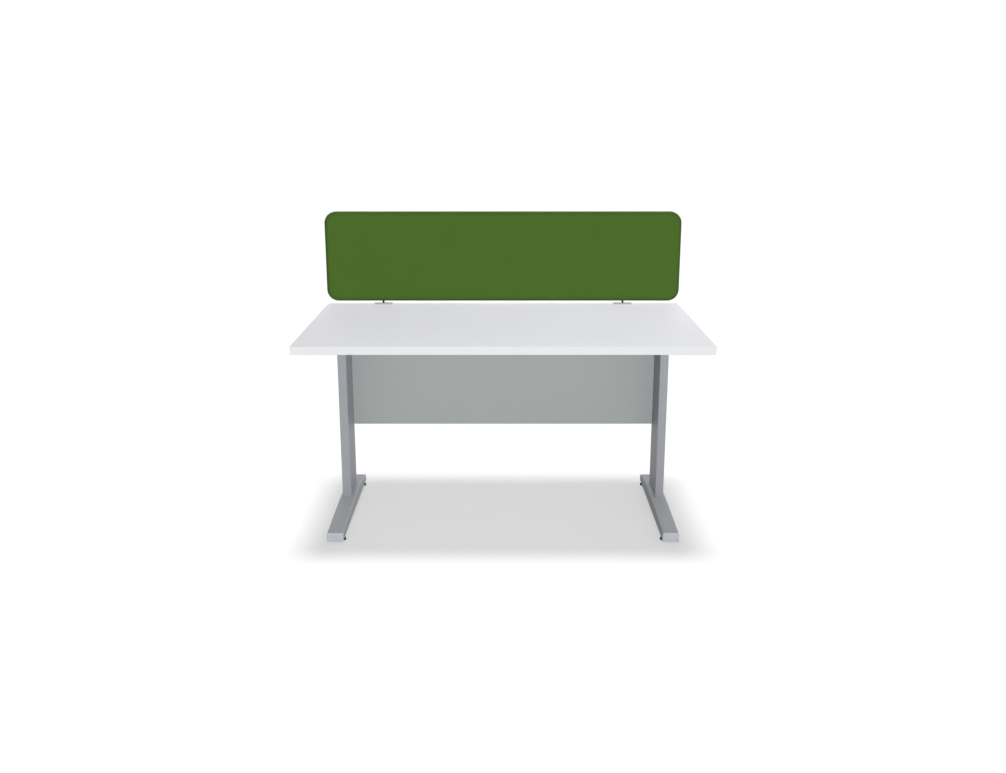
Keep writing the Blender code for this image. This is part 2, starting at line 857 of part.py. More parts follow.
# ------------------------------------------------------ moving: clamp screws
# The screw climbs through the jaw and presses its swivel pad to the desktop.
for side, s in SIDES:
    centre = (s * CLAMP_X, CLAMP_SCREW_Y, 0)
    pad = place(
        f"{side}_clamp_pad",
        turned(
            [
                (0, 0.6990),
                (0.0048, 0.6990),
                (0.0048, 0.6945),
                (CLAMP_PAD_R - 0.002, 0.6945),
                (CLAMP_PAD_R, 0.6965),
                (CLAMP_PAD_R, TOP_UNDER - GAP),
                (0, TOP_UNDER - GAP),
            ],
            centre,
            20,
        ),
        BLACK,
        (centre[0], centre[1], TOP_UNDER - GAP),
    )
    smooth(pad)
    child(pad, carrel)
    screw = place(
        f"{side}_clamp_screw",
        turned(
            [
                (0, KNOB_LOW + 0.004),
                (CLAMP_SCREW_R, KNOB_LOW + 0.004),
                (CLAMP_SCREW_R, 0.6970),
                (0.0030, 0.6986),
                (0, 0.6986),
            ],
            centre,
            20,
        ),
        STEEL,
        (centre[0], centre[1], TOP_UNDER - GAP),
    )
    smooth(screw)
    child(screw, pad)
    # knob: a hub with five lobes for finger grip, moulded on the screw's tail
    lobes = [
        (
            centre[0] + (KNOB_R - 0.0022 + 0.0022 * cos(5 * a)) * cos(a),
            centre[1] + (KNOB_R - 0.0022 + 0.0022 * cos(5 * a)) * sin(a),
        )
        for a in (2 * pi * i / 40 for i in range(40))
    ]
    knob = place(
        f"{side}_clamp_knob",
        extruded(lobes, "Z", KNOB_LOW, KNOB_HIGH),
        BLACK,
        (centre[0], centre[1], KNOB_HIGH),
    )
    cut(
        knob,
        f"knob_bore_{side}",
        rod((centre[0], centre[1], 0), CLAMP_SCREW_R + GAP, KNOB_LOW + 0.0035, KNOB_HIGH + 0.01, 20),
    )
    smooth(knob)
    child(knob, screw)
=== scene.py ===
import json
import math
from math import cos, pi, radians, sin

import bmesh
import bpy
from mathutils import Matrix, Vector, noise

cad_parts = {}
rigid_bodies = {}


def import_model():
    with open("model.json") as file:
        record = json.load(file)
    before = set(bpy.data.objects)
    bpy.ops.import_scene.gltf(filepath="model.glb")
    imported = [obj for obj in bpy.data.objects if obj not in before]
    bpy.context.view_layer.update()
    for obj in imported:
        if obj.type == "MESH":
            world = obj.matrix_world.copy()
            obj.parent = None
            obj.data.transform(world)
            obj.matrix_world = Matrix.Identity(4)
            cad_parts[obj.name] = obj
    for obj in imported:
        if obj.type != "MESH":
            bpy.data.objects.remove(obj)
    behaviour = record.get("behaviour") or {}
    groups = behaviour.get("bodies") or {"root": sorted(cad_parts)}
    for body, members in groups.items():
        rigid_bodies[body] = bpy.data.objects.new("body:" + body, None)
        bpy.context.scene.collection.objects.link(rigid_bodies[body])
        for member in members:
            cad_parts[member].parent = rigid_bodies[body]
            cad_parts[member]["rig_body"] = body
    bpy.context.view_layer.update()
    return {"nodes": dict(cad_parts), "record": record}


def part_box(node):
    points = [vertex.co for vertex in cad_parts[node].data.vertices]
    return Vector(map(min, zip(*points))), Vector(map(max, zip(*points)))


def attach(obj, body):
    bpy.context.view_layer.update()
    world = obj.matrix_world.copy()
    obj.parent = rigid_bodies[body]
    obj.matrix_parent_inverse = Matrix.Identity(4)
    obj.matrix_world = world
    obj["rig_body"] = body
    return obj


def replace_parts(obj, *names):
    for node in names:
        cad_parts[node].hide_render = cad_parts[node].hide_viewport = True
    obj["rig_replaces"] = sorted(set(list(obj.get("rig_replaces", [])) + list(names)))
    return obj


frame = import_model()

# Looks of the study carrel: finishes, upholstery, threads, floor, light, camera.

CAD = frame["nodes"]
scene = bpy.context.scene
scene.view_settings.view_transform = "Standard"
scene.view_settings.look = "None"

SIDES = (("left", -1), ("right", 1))


def centre(node):
    low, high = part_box(node)
    return (low + high) / 2


# --------------------------------------------------------------------- camera
desk_low, desk_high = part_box("desk_top")
desk_y = (desk_low.y + desk_high.y) / 2
camera_data = bpy.data.cameras.new("camera")
camera_data.sensor_width = 36.0
camera_data.lens = 37.39
camera_data.clip_start, camera_data.clip_end = 0.05, 200.0
camera = bpy.data.objects.new("camera", camera_data)
scene.collection.objects.link(camera)
camera.location = (0.0, desk_y - 3.7402, desk_high.z + 0.747)
camera.rotation_euler = (radians(90 - 14.785), 0, 0)
scene.camera = camera


# ------------------------------------------------------------------ materials
class Paint:
    """One material and short ways to add and join its nodes."""

    def __init__(self, name):
        self.material = bpy.data.materials.new("look_" + name)
        self.material.use_nodes = True
        self.tree = self.material.node_tree
        self.shader = self.tree.nodes["Principled BSDF"]
        self.place = self.node("ShaderNodeTexCoord").outputs["Object"]

    def node(self, kind, values=None, **settings):
        n = self.tree.nodes.new(kind)
        for key, value in settings.items():
            setattr(n, key, value)
        for key, value in (values or {}).items():
            self.put(n.inputs[key], value)
        return n

    def put(self, socket, value):
        if isinstance(value, bpy.types.NodeSocket):
            self.tree.links.new(value, socket)
        else:
            socket.default_value = value

    def math(self, operation, a, b=0.0, c=None, clamp=False):
        n = self.node("ShaderNodeMath", operation=operation, use_clamp=clamp)
        self.put(n.inputs[0], a)
        self.put(n.inputs[1], b)
        if c is not None:
            self.put(n.inputs[2], c)
        return n.outputs[0]

    def span(self, value, from_low, from_high, to_low, to_high, smooth=False):
        """The value's range carried to another range, clamped."""
        return self.node(
            "ShaderNodeMapRange",
            {"Value": value, "From Min": from_low, "From Max": from_high, "To Min": to_low, "To Max": to_high},
            interpolation_type="SMOOTHSTEP" if smooth else "LINEAR",
        ).outputs["Result"]

    def stretched(self, scale, turn=(0, 0, 0)):
        return self.node(
            "ShaderNodeMapping", {"Vector": self.place, "Scale": scale, "Rotation": turn}
        ).outputs["Vector"]

    def noise(self, scale, detail=2.0, rough=0.5, at=None, distortion=0.0):
        return self.node(
            "ShaderNodeTexNoise",
            {
                "Vector": self.place if at is None else at,
                "Scale": scale,
                "Detail": detail,
                "Roughness": rough,
                "Distortion": distortion,
            },
        ).outputs["Fac"]

    def cells(self, scale, feature="F1", output="Distance", at=None):
        return self.node(
            "ShaderNodeTexVoronoi",
            {"Vector": self.place if at is None else at, "Scale": scale},
            feature=feature,
        ).outputs[output]

    def mixed(self, factor, a, b, blend="MIX"):
        n = self.node("ShaderNodeMix", data_type="RGBA", blend_type=blend)
        self.put(n.inputs[0], factor)
        for socket, value in ((n.inputs[6], a), (n.inputs[7], b)):
            self.put(socket, (*value, 1) if isinstance(value, tuple) and len(value) == 3 else value)
        return n.outputs[2]

    def grey(self, value):
        return self.node("ShaderNodeCombineColor", {"Red": value, "Green": value, "Blue": value}).outputs[0]

    def shaded(self, rgb, *shades):
        """The colour times each shade, a value round 1."""
        colour = None
        for shade in shades:
            colour = self.mixed(1.0, rgb if colour is None else colour, self.grey(shade), "MULTIPLY")
        return colour

    def bumps(self, *layers):
        """Bump layers, each (height, strength, distance in metres), stacked."""
        normal = None
        for height, strength, distance in layers:
            n = self.node("ShaderNodeBump", {"Height": height, "Strength": strength, "Distance": distance})
            if normal is not None:
                self.put(n.inputs["Normal"], normal)
            normal = n.outputs["Normal"]
        self.put(self.shader.inputs["Normal"], normal)

    def set(self, **values):
        names = {
            "colour": "Base Color",
            "rough": "Roughness",
            "metal": "Metallic",
            "ior": "IOR",
            "specular": "Specular IOR Level",
            "sheen": "Sheen Weight",
            "sheen_rough": "Sheen Roughness",
            "sheen_tint": "Sheen Tint",
            "coat": "Coat Weight",
            "coat_rough": "Coat Roughness",
        }
        for key, value in values.items():
            if isinstance(value, tuple) and len(value) == 3:
                value = (*value, 1)
            self.put(self.shader.inputs[names[key]], value)
        return self.material


def melamine(name, rgb, rough, specular=0.45):
    """Laminate facing: a pearl texture under a millimetre, slow cloudiness and
    a few faint scuffs that only change the gloss."""
    p = Paint(name)
    pearl = p.noise(1100, 3, 0.55)
    pits = p.cells(1500)
    cloud = p.noise(3.5, 2)
    scuff = p.noise(1.0, 4, 0.6, p.stretched((9, 160, 160), (0, 0, 0.45)))
    scuffed = p.span(scuff, 0.60, 0.72, 0, 1, True)
    colour = p.shaded(rgb, p.span(pearl, 0.3, 0.7, 0.982, 1.012), p.span(cloud, 0.3, 0.7, 0.990, 1.006))
    gloss = p.math("ADD", p.span(pearl, 0.3, 0.7, rough - 0.05, rough + 0.05), p.math("MULTIPLY", scuffed, 0.05))
    p.bumps((pearl, 0.25, 0.00008), (pits, 0.15, 0.00005))
    return p.set(colour=colour, rough=gloss, specular=specular)


def edging(name, rgb, rough):
    """Edge banding: smooth plastic with faint lengthwise extrusion lines."""
    p = Paint(name)
    lines = p.noise(1.0, 2, 0.5, p.stretched((2, 2, 1500)))
    skin = p.noise(900, 2)
    cloud = p.noise(6, 2)
    colour = p.shaded(rgb, p.span(lines, 0.3, 0.7, 0.985, 1.010), p.span(cloud, 0.3, 0.7, 0.992, 1.004))
    p.bumps((lines, 0.12, 0.00005), (skin, 0.10, 0.00005))
    return p.set(colour=colour, rough=p.span(skin, 0.3, 0.7, rough - 0.04, rough + 0.05), specular=0.5)


def powder(name, rgb, rough, metal, wear=0.5, specular=0.5):
    """Powder coat: orange peel at about a millimetre, a finer grain, a sparse
    metallic fleck, and thin rubbed edges."""
    p = Paint(name)
    peel = p.noise(620, 2, 0.45)
    grain = p.noise(2600, 2, 0.6)
    fleck = p.cells(2400, output="Color")
    bright = p.node("ShaderNodeSeparateColor", {"Color": fleck}).outputs[0]
    fleck_on = p.span(bright, 0.90, 0.97, 0, 1)
    cloud = p.noise(9, 3)
    rubbed = p.noise(55, 4, 0.65)
    edge = edge_mask(p, 0.0011)
    worn = p.math("MULTIPLY", edge, p.span(rubbed, 0.40, 0.62, 0.15, 1), clamp=True)
    colour = p.shaded(
        rgb,
        p.span(grain, 0.3, 0.7, 0.95, 1.04),
        p.span(cloud, 0.3, 0.7, 0.98, 1.012),
        p.math("ADD", 1.0, p.math("MULTIPLY", fleck_on, 0.10)),
        p.math("ADD", 1.0, p.math("MULTIPLY", worn, 0.35 * wear)),
    )
    gloss = p.math("SUBTRACT", p.span(peel, 0.3, 0.7, rough - 0.05, rough + 0.07), p.math("MULTIPLY", worn, 0.10))
    p.bumps((peel, 0.30, 0.00012), (grain, 0.16, 0.00004))
    return p.set(colour=colour, rough=gloss, metal=metal, specular=specular)


def edge_mask(p, radius):
    """1 along sharp outer and inner edges, 0 on open faces."""
    bevel = p.node("ShaderNodeBevel", {"Radius": radius}, samples=4).outputs[0]
    plain = p.node("ShaderNodeNewGeometry").outputs["True Normal"]
    dot = p.node("ShaderNodeVectorMath", operation="DOT_PRODUCT")
    p.put(dot.inputs[0], bevel)
    p.put(dot.inputs[1], plain)
    return p.span(dot.outputs["Value"], 0.99, 0.80, 0, 1, True)


def moulded(name, rgb, rough, grain_scale=1300, specular=0.4):
    """Moulded plastic: spark-eroded grain with slightly shinier high spots."""
    p = Paint(name)
    grain = p.cells(grain_scale)
    fine = p.noise(2600, 2)
    cloud = p.noise(30, 2)
    colour = p.shaded(rgb, p.span(cloud, 0.3, 0.7, 0.93, 1.05), p.span(grain, 0.0, 0.8, 1.06, 0.94))
    p.bumps((grain, 0.30, 0.00008), (fine, 0.12, 0.00004))
    return p.set(colour=colour, rough=p.span(grain, 0.0, 0.8, rough - 0.05, rough + 0.06), specular=specular)


def plated(name, rgb):
    """Bright zinc: tumbled, with soft cloudy blooms and a slight warm cast."""
    p = Paint(name)
    bloom = p.noise(160, 3, 0.6)
    grain = p.noise(2200, 3)
    warm = p.noise(70, 2)
    base = p.mixed(p.span(warm, 0.35, 0.65, 0, 0.35), rgb, (rgb[0] * 1.03, rgb[1] * 0.98, rgb[2] * 0.88))
    colour = p.mixed(1.0, base, p.grey(p.span(bloom, 0.3, 0.7, 0.90, 1.06)), "MULTIPLY")
    p.bumps((grain, 0.15, 0.00003))
    return p.set(colour=colour, rough=p.span(bloom, 0.3, 0.7, 0.26, 0.42), metal=1.0)


def chipboard(name):
    """Raw particle board: flat chips of several browns."""
    p = Paint(name)
    chips = p.cells(260, output="Color", at=p.stretched((1, 1, 2.2)))
    tone = p.node("ShaderNodeSeparateColor", {"Color": chips}).outputs[0]
    fibre = p.noise(700, 3)
    colour = p.mixed(tone, (0.36, 0.24, 0.13), (0.60, 0.45, 0.28))
    colour = p.mixed(1.0, colour, p.grey(p.span(fibre, 0.3, 0.7, 0.85, 1.08)), "MULTIPLY")
    p.bumps((tone, 0.5, 0.0003), (fibre, 0.3, 0.0001))
    return p.set(colour=colour, rough=0.85, specular=0.25)


def woven(name, rgb, rim_shade):
    """Plain-woven wool: warp and weft at 1.5 mm, heathered yarn, soft sheen.
    The weave follows whichever two axes lie in the surface."""
    p = Paint(name)
    at = p.node("ShaderNodeSeparateXYZ", {"Vector": p.place}).outputs
    facing = p.node(
        "ShaderNodeSeparateXYZ", {"Vector": p.node("ShaderNodeNewGeometry").outputs["True Normal"]}
    ).outputs
    on_end = p.math("GREATER_THAN", p.math("ABSOLUTE", facing[0]), 0.72)
    on_top = p.math("GREATER_THAN", p.math("ABSOLUTE", facing[2]), 0.72)

    def either(switch, off, on):
        n = p.node("ShaderNodeMix", data_type="FLOAT")
        p.put(n.inputs[0], switch)
        p.put(n.inputs[2], off)
        p.put(n.inputs[3], on)
        return n.outputs[0]

    waver = p.noise(180, 2)
    drift = p.math("MULTIPLY", p.math("SUBTRACT", waver, 0.5), 0.0009)
    u = p.math("ADD", either(on_end, at[0], at[1]), drift)
    v = p.math("ADD", either(on_top, at[2], at[1]), drift)
    pitch = 0.0015
    su = p.math("SINE", p.math("MULTIPLY", u, pi / pitch))
    sv = p.math("SINE", p.math("MULTIPLY", v, pi / pitch))
    over = p.span(p.math("MULTIPLY", su, sv), -0.12, 0.12, 0, 1, True)
    au, av = p.math("ABSOLUTE", su), p.math("ABSOLUTE", sv)
    warp = p.math("MULTIPLY", p.math("POWER", au, 0.8), p.math("POWER", av, 0.3))
    weft = p.math("MULTIPLY", p.math("POWER", av, 0.8), p.math("POWER", au, 0.3))
    height = either(over, weft, warp)
    fibre = p.noise(2400, 3, 0.65)
    heather = p.noise(420, 3, 0.6)
    slub = p.noise(1.0, 3, 0.6, p.stretched((14, 14, 260)))
    tone = p.noise(7, 2)
    light = tuple(min(1.0, c * 1.10) for c in rgb)
    dark = tuple(c * 0.90 for c in rgb)
    colour = p.mixed(over, light, dark)
    # painted shade: the fabric is darkened round the screen's rim by the rim attribute, less on faces turned up
    rim = p.node("ShaderNodeAttribute", attribute_name="rim", attribute_type="GEOMETRY").outputs["Fac"]
    rim = p.math("MULTIPLY", rim, p.span(facing[2], 0.2, 0.7, 1, 0))
    # painted shade: the first factor darkens the weave's low spots between the yarns and lightens their crowns
    for shade in (
        p.span(height, 0.0, 0.9, 0.72, 1.12),
        p.span(heather, 0.3, 0.7, 0.90, 1.10),
        p.span(slub, 0.3, 0.7, 0.97, 1.03),
        p.span(tone, 0.3, 0.7, 0.985, 1.015),
        p.span(fibre, 0.3, 0.7, 0.94, 1.06),
        p.span(rim, 0, 1, 1.0, rim_shade),
    ):
        colour = p.mixed(1.0, colour, p.grey(shade), "MULTIPLY")
    p.bumps((height, 0.55, 0.00035), (fibre, 0.25, 0.00010))
    return p.set(
        colour=colour, rough=0.88, specular=0.20, sheen=0.05, sheen_rough=0.5, sheen_tint=(0.55, 0.75, 0.35)
    )


WHITE = melamine("white_board", (0.726, 0.732, 0.748), 0.48, 0.18)
EDGE_WHITE = edging("white_edging", (0.722, 0.727, 0.742), 0.36)
GREY = melamine("grey_board", (0.326, 0.343, 0.339), 0.46)
SILVER = powder("silver_steel", (0.313, 0.323, 0.345), 0.44, 0.15, 0.2)
# painted shade: the cable covers take a darker copy of the silver steel, for the shade on the uprights' inner sides
SHADED_COVER = powder("cover_steel", (0.226, 0.240, 0.264), 0.46, 0.15, 0.2)
CAP = moulded("silver_plastic", (0.475, 0.497, 0.525), 0.42, 1100)
CLAMP = powder("clamp_steel", (0.469, 0.462, 0.509), 0.40, 0.15, 0.3)
BLACK_STEEL = powder("black_steel", (0.006, 0.006, 0.0065), 0.50, 0.0, 0.8, 0.12)
BLACK = moulded("black_plastic", (0.016, 0.016, 0.017), 0.50)
ZINC = plated("zinc_steel", (0.60, 0.61, 0.62))
CHIP = chipboard("core_board")
# the last value is how dark the painted shade round the screen's rim goes
GREEN = woven("green_fabric", (0.0605, 0.1285, 0.0180), 0.54)

FINISH = {
    "white_board": WHITE,
    "white_edging": EDGE_WHITE,
    "grey_board": GREY,
    "silver_steel": SILVER,
    # the cover slot gets the darker copy of the silver, painted shade
    "cover_steel": SHADED_COVER,
    "silver_plastic": CAP,
    "clamp_steel": CLAMP,
    "black_steel": BLACK_STEEL,
    "black_plastic": BLACK,
    "zinc_steel": ZINC,
    "core_board": CHIP,
    "green_fabric": GREEN,
}
slots = {s["node"]: s["material_slot"] for s in frame["record"]["subparts"]}


# -------------------------------------------------------------- CAD nodes kept
def dress(name, radius=0.0004, segments=2):
    """The node's finish, its duplicate corners welded and its arrises eased."""
    obj = CAD[name]
    mesh = obj.data
    mesh.materials.clear()
    mesh.materials.append(FINISH[slots[name]])
    mesh.polygons.foreach_set("material_index", [0] * len(mesh.polygons))
    for extra in ("custom_normal", "sharp_edge", "sharp_face"):
        if extra in mesh.attributes:
            mesh.attributes.remove(mesh.attributes[extra])
    mesh.shade_smooth()
    weld = obj.modifiers.new("weld", "WELD")
    weld.merge_threshold = 0.00001
    flat = obj.modifiers.new("flat", "DECIMATE")
    flat.decimate_type = "DISSOLVE"
    flat.angle_limit = radians(0.3)
    if radius:
        ease = obj.modifiers.new("ease", "BEVEL")
        ease.width = radius
        ease.segments = segments
        ease.limit_method = "ANGLE"
        ease.angle_limit = radians(40)
        ease.use_clamp_overlap = True
    even = obj.modifiers.new("even", "WEIGHTED_NORMAL")
    even.mode = "FACE_AREA"
    even.weight = 60


# ------------------------------------------------------------- pieces made here
def piece(name, bm, material, body, stands_for=(), smooth=40):
    bmesh.ops.remove_doubles(bm, verts=bm.verts, dist=1e-6)
    bmesh.ops.recalc_face_normals(bm, faces=bm.faces)
    mesh = bpy.data.meshes.new(name)
    bm.to_mesh(mesh)
    bm.free()
    mesh.materials.append(material)
    mesh.shade_smooth()
    if smooth < 180:
        mesh.set_sharp_from_angle(angle=radians(smooth))
    obj = bpy.data.objects.new(name, mesh)
    scene.collection.objects.link(obj)
    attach(obj, body)
    if stands_for:
        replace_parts(obj, *stands_for)
    return obj


def body_of(node):
    return CAD[node]["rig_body"]


def loft(rings, closed_ends=True):
    """A body through rings of points with equal counts; a ring of one point
    closes to a tip."""
    bm = bmesh.new()
    made = [[bm.verts.new(p) for p in ring] for ring in rings]
    for a, b in zip(made, made[1:]):
        n = max(len(a), len(b))
        for i in range(n):
            j = (i + 1) % n
            corners = []
            for v in (a[i % len(a)], a[j % len(a)], b[j % len(b)], b[i % len(b)]):
                if v not in corners:
                    corners.append(v)
            if len(corners) > 2:
                bm.faces.new(corners)
    if closed_ends:
        for ring in (made[0], made[-1]):
            if len(ring) > 2:
                bm.faces.new(ring)
    return bm


def around(radius, height, middle, segments=48, axis="Z", shape=None):
    """A ring of points about an axis through the middle point."""
    out = []
    for i in range(segments):
        t = 2 * pi * i / segments
        r = radius if shape is None else shape(t, radius)
        a, b = r * cos(t), r * sin(t)
        if axis == "Z":
            out.append((middle[0] + a, middle[1] + b, height))
        elif axis == "Y":
            out.append((middle[0] + a, height, middle[2] + b))
        else:
            out.append((height, middle[1] + a, middle[2] + b))
    return out


def turned(profile, middle, segments=48, axis="Z"):
    """(radius, position along the axis) pairs; ends on the axis are tips."""
    rings = []
    for r, h in profile:
        if r < 1e-9:
            tip = {"Z": (middle[0], middle[1], h), "Y": (middle[0], h, middle[2]), "X": (h, middle[1], middle[2])}
            rings.append([tip[axis]])
        else:
            rings.append(around(r, h, middle, segments, axis))
    return loft(rings, closed_ends=False)


def fillet(corner_r, corner_h, r, from_angle, to_angle, steps=5):
    """Profile points round a fillet's centre."""
    return [
        (
            corner_r + r * cos(radians(from_angle + (to_angle - from_angle) * k / steps)),
            corner_h + r * sin(radians(from_angle + (to_angle - from_angle) * k / steps)),
        )
        for k in range(steps + 1)
    ]


def threaded(middle, low, high, radius, pitch, plain_tip, segments=28, per_turn=8):
    """A rod with a rolled screw thread between two heights. The tip end has a
    short plain point of the given radius."""
    depth = 0.61 * pitch
    rings = [[(middle[0], middle[1], low)], around(radius - depth, low, middle, segments)]
    count = int(round((high - low - 0.0012) / pitch * per_turn))
    start, stop = low + 0.0002, high - 0.0012
    for k in range(count + 1):
        z = start + (stop - start) * k / count
        ring = []
        for i in range(segments):
            t = 2 * pi * i / segments
            phase = (z / pitch - t / (2 * pi)) % 1.0
            tooth = min(1.0, max(0.0, 1.25 * (1 - abs(2 * phase - 1)) - 0.125))
            fade = min(1.0, (stop - z) / pitch, (z - start) / pitch)
            r = radius - depth * (1 - tooth * max(0.0, fade))
            ring.append((middle[0] + r * cos(t), middle[1] + r * sin(t), z))
        rings.append(ring)
    rings.append(around(plain_tip, stop + 0.0002, middle, segments))
    rings.append(around(plain_tip - 0.0006, high, middle, segments))
    rings.append([(middle[0], middle[1], high)])
    return loft(rings, closed_ends=False)


def rounded_block(low, high, r, steps=3):
    """A box with its edges eased."""
    bm = bmesh.new()
    bmesh.ops.create_cube(bm, size=1)
    middle, size = (Vector(low) + Vector(high)) / 2, Vector(high) - Vector(low)
    for v in bm.verts:
        v.co = Vector((v.co[i] * size[i] + middle[i] for i in range(3)))
    bmesh.ops.bevel(bm, geom=list(bm.edges), offset=r, segments=steps, profile=0.5, affect="EDGES")
    return bm


# -------------------------------------------------------------------- upholstery
core_low, core_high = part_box("screen_core")
front_low, front_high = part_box("screen_front_pad")
rear_low, rear_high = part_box("screen_rear_pad")
SEAM_Y = (core_low.y + core_high.y) / 2
HALF_W = front_high.x
BOTTOM, TOP = front_low.z, front_high.z
MIDDLE_Z = (BOTTOM + TOP) / 2
CORNER = 0.045
POCKET = (core_low.x - front_low.x) - 0.0003
EDGE_R = 0.0085
DEPTH = SEAM_Y - front_low.y
NX, NZ, NC = 188, 38, 10


def outline(inset):
    """The screen's outline moved in, as (x, z) with the same count each time."""
    r = max(0.0, CORNER - inset)
    grow = max(0.0, inset - CORNER)
    cx, cz = HALF_W - CORNER - grow, (TOP - BOTTOM) / 2 - CORNER - grow
    points = []
    for k in range(4):
        turn = k * pi / 2
        sx, sz = (1, -1, -1, 1)[k], (1, 1, -1, -1)[k]
        ox, oz = sx * cx, sz * cz
        for i in range(NC):
            t = turn + (pi / 2) * i / NC
            points.append((ox + r * cos(t), MIDDLE_Z + oz + r * sin(t)))
        t = turn + pi / 2
        start = (ox + r * cos(t), MIDDLE_Z + oz + r * sin(t))
        nsx, nsz = (1, -1, -1, 1)[(k + 1) % 4], (1, 1, -1, -1)[(k + 1) % 4]
        end = (nsx * cx + r * cos(t), MIDDLE_Z + nsz * cz + r * sin(t))
        count = NX if k % 2 == 0 else NZ
        for i in range(count):
            f = i / count
            points.append((start[0] + (end[0] - start[0]) * f, start[1] + (end[1] - start[1]) * f))
    return points


def skin_rings(sy):
    """(inset, y, rim) stations from the seam round the edge and on to the face."""
    out = []
    # the third value of each station is how much painted shade the fabric takes there
    for inset, t in ((0.0016, 0.0003), (0.0007, 0.0010), (0.0002, 0.0020), (0.0, 0.0034), (0.0, DEPTH - EDGE_R)):
        out.append((inset, t, 1.0))
    for k in range(1, 7):
        a = (pi / 2) * k / 6
        out.append((EDGE_R * (1 - cos(a)), DEPTH - EDGE_R + EDGE_R * sin(a), 1.0 - 0.5 * k / 6))
    for inset, rim in ((0.0105, 0.25), (0.0135, 0.06), (0.018, 0.0), (0.024, 0.0), (0.031, 0.0), (0.038, 0.0), (CORNER, 0.0)):
        out.append((inset, DEPTH, rim))
    return [(inset, SEAM_Y + sy * t, rim) for inset, t, rim in out]


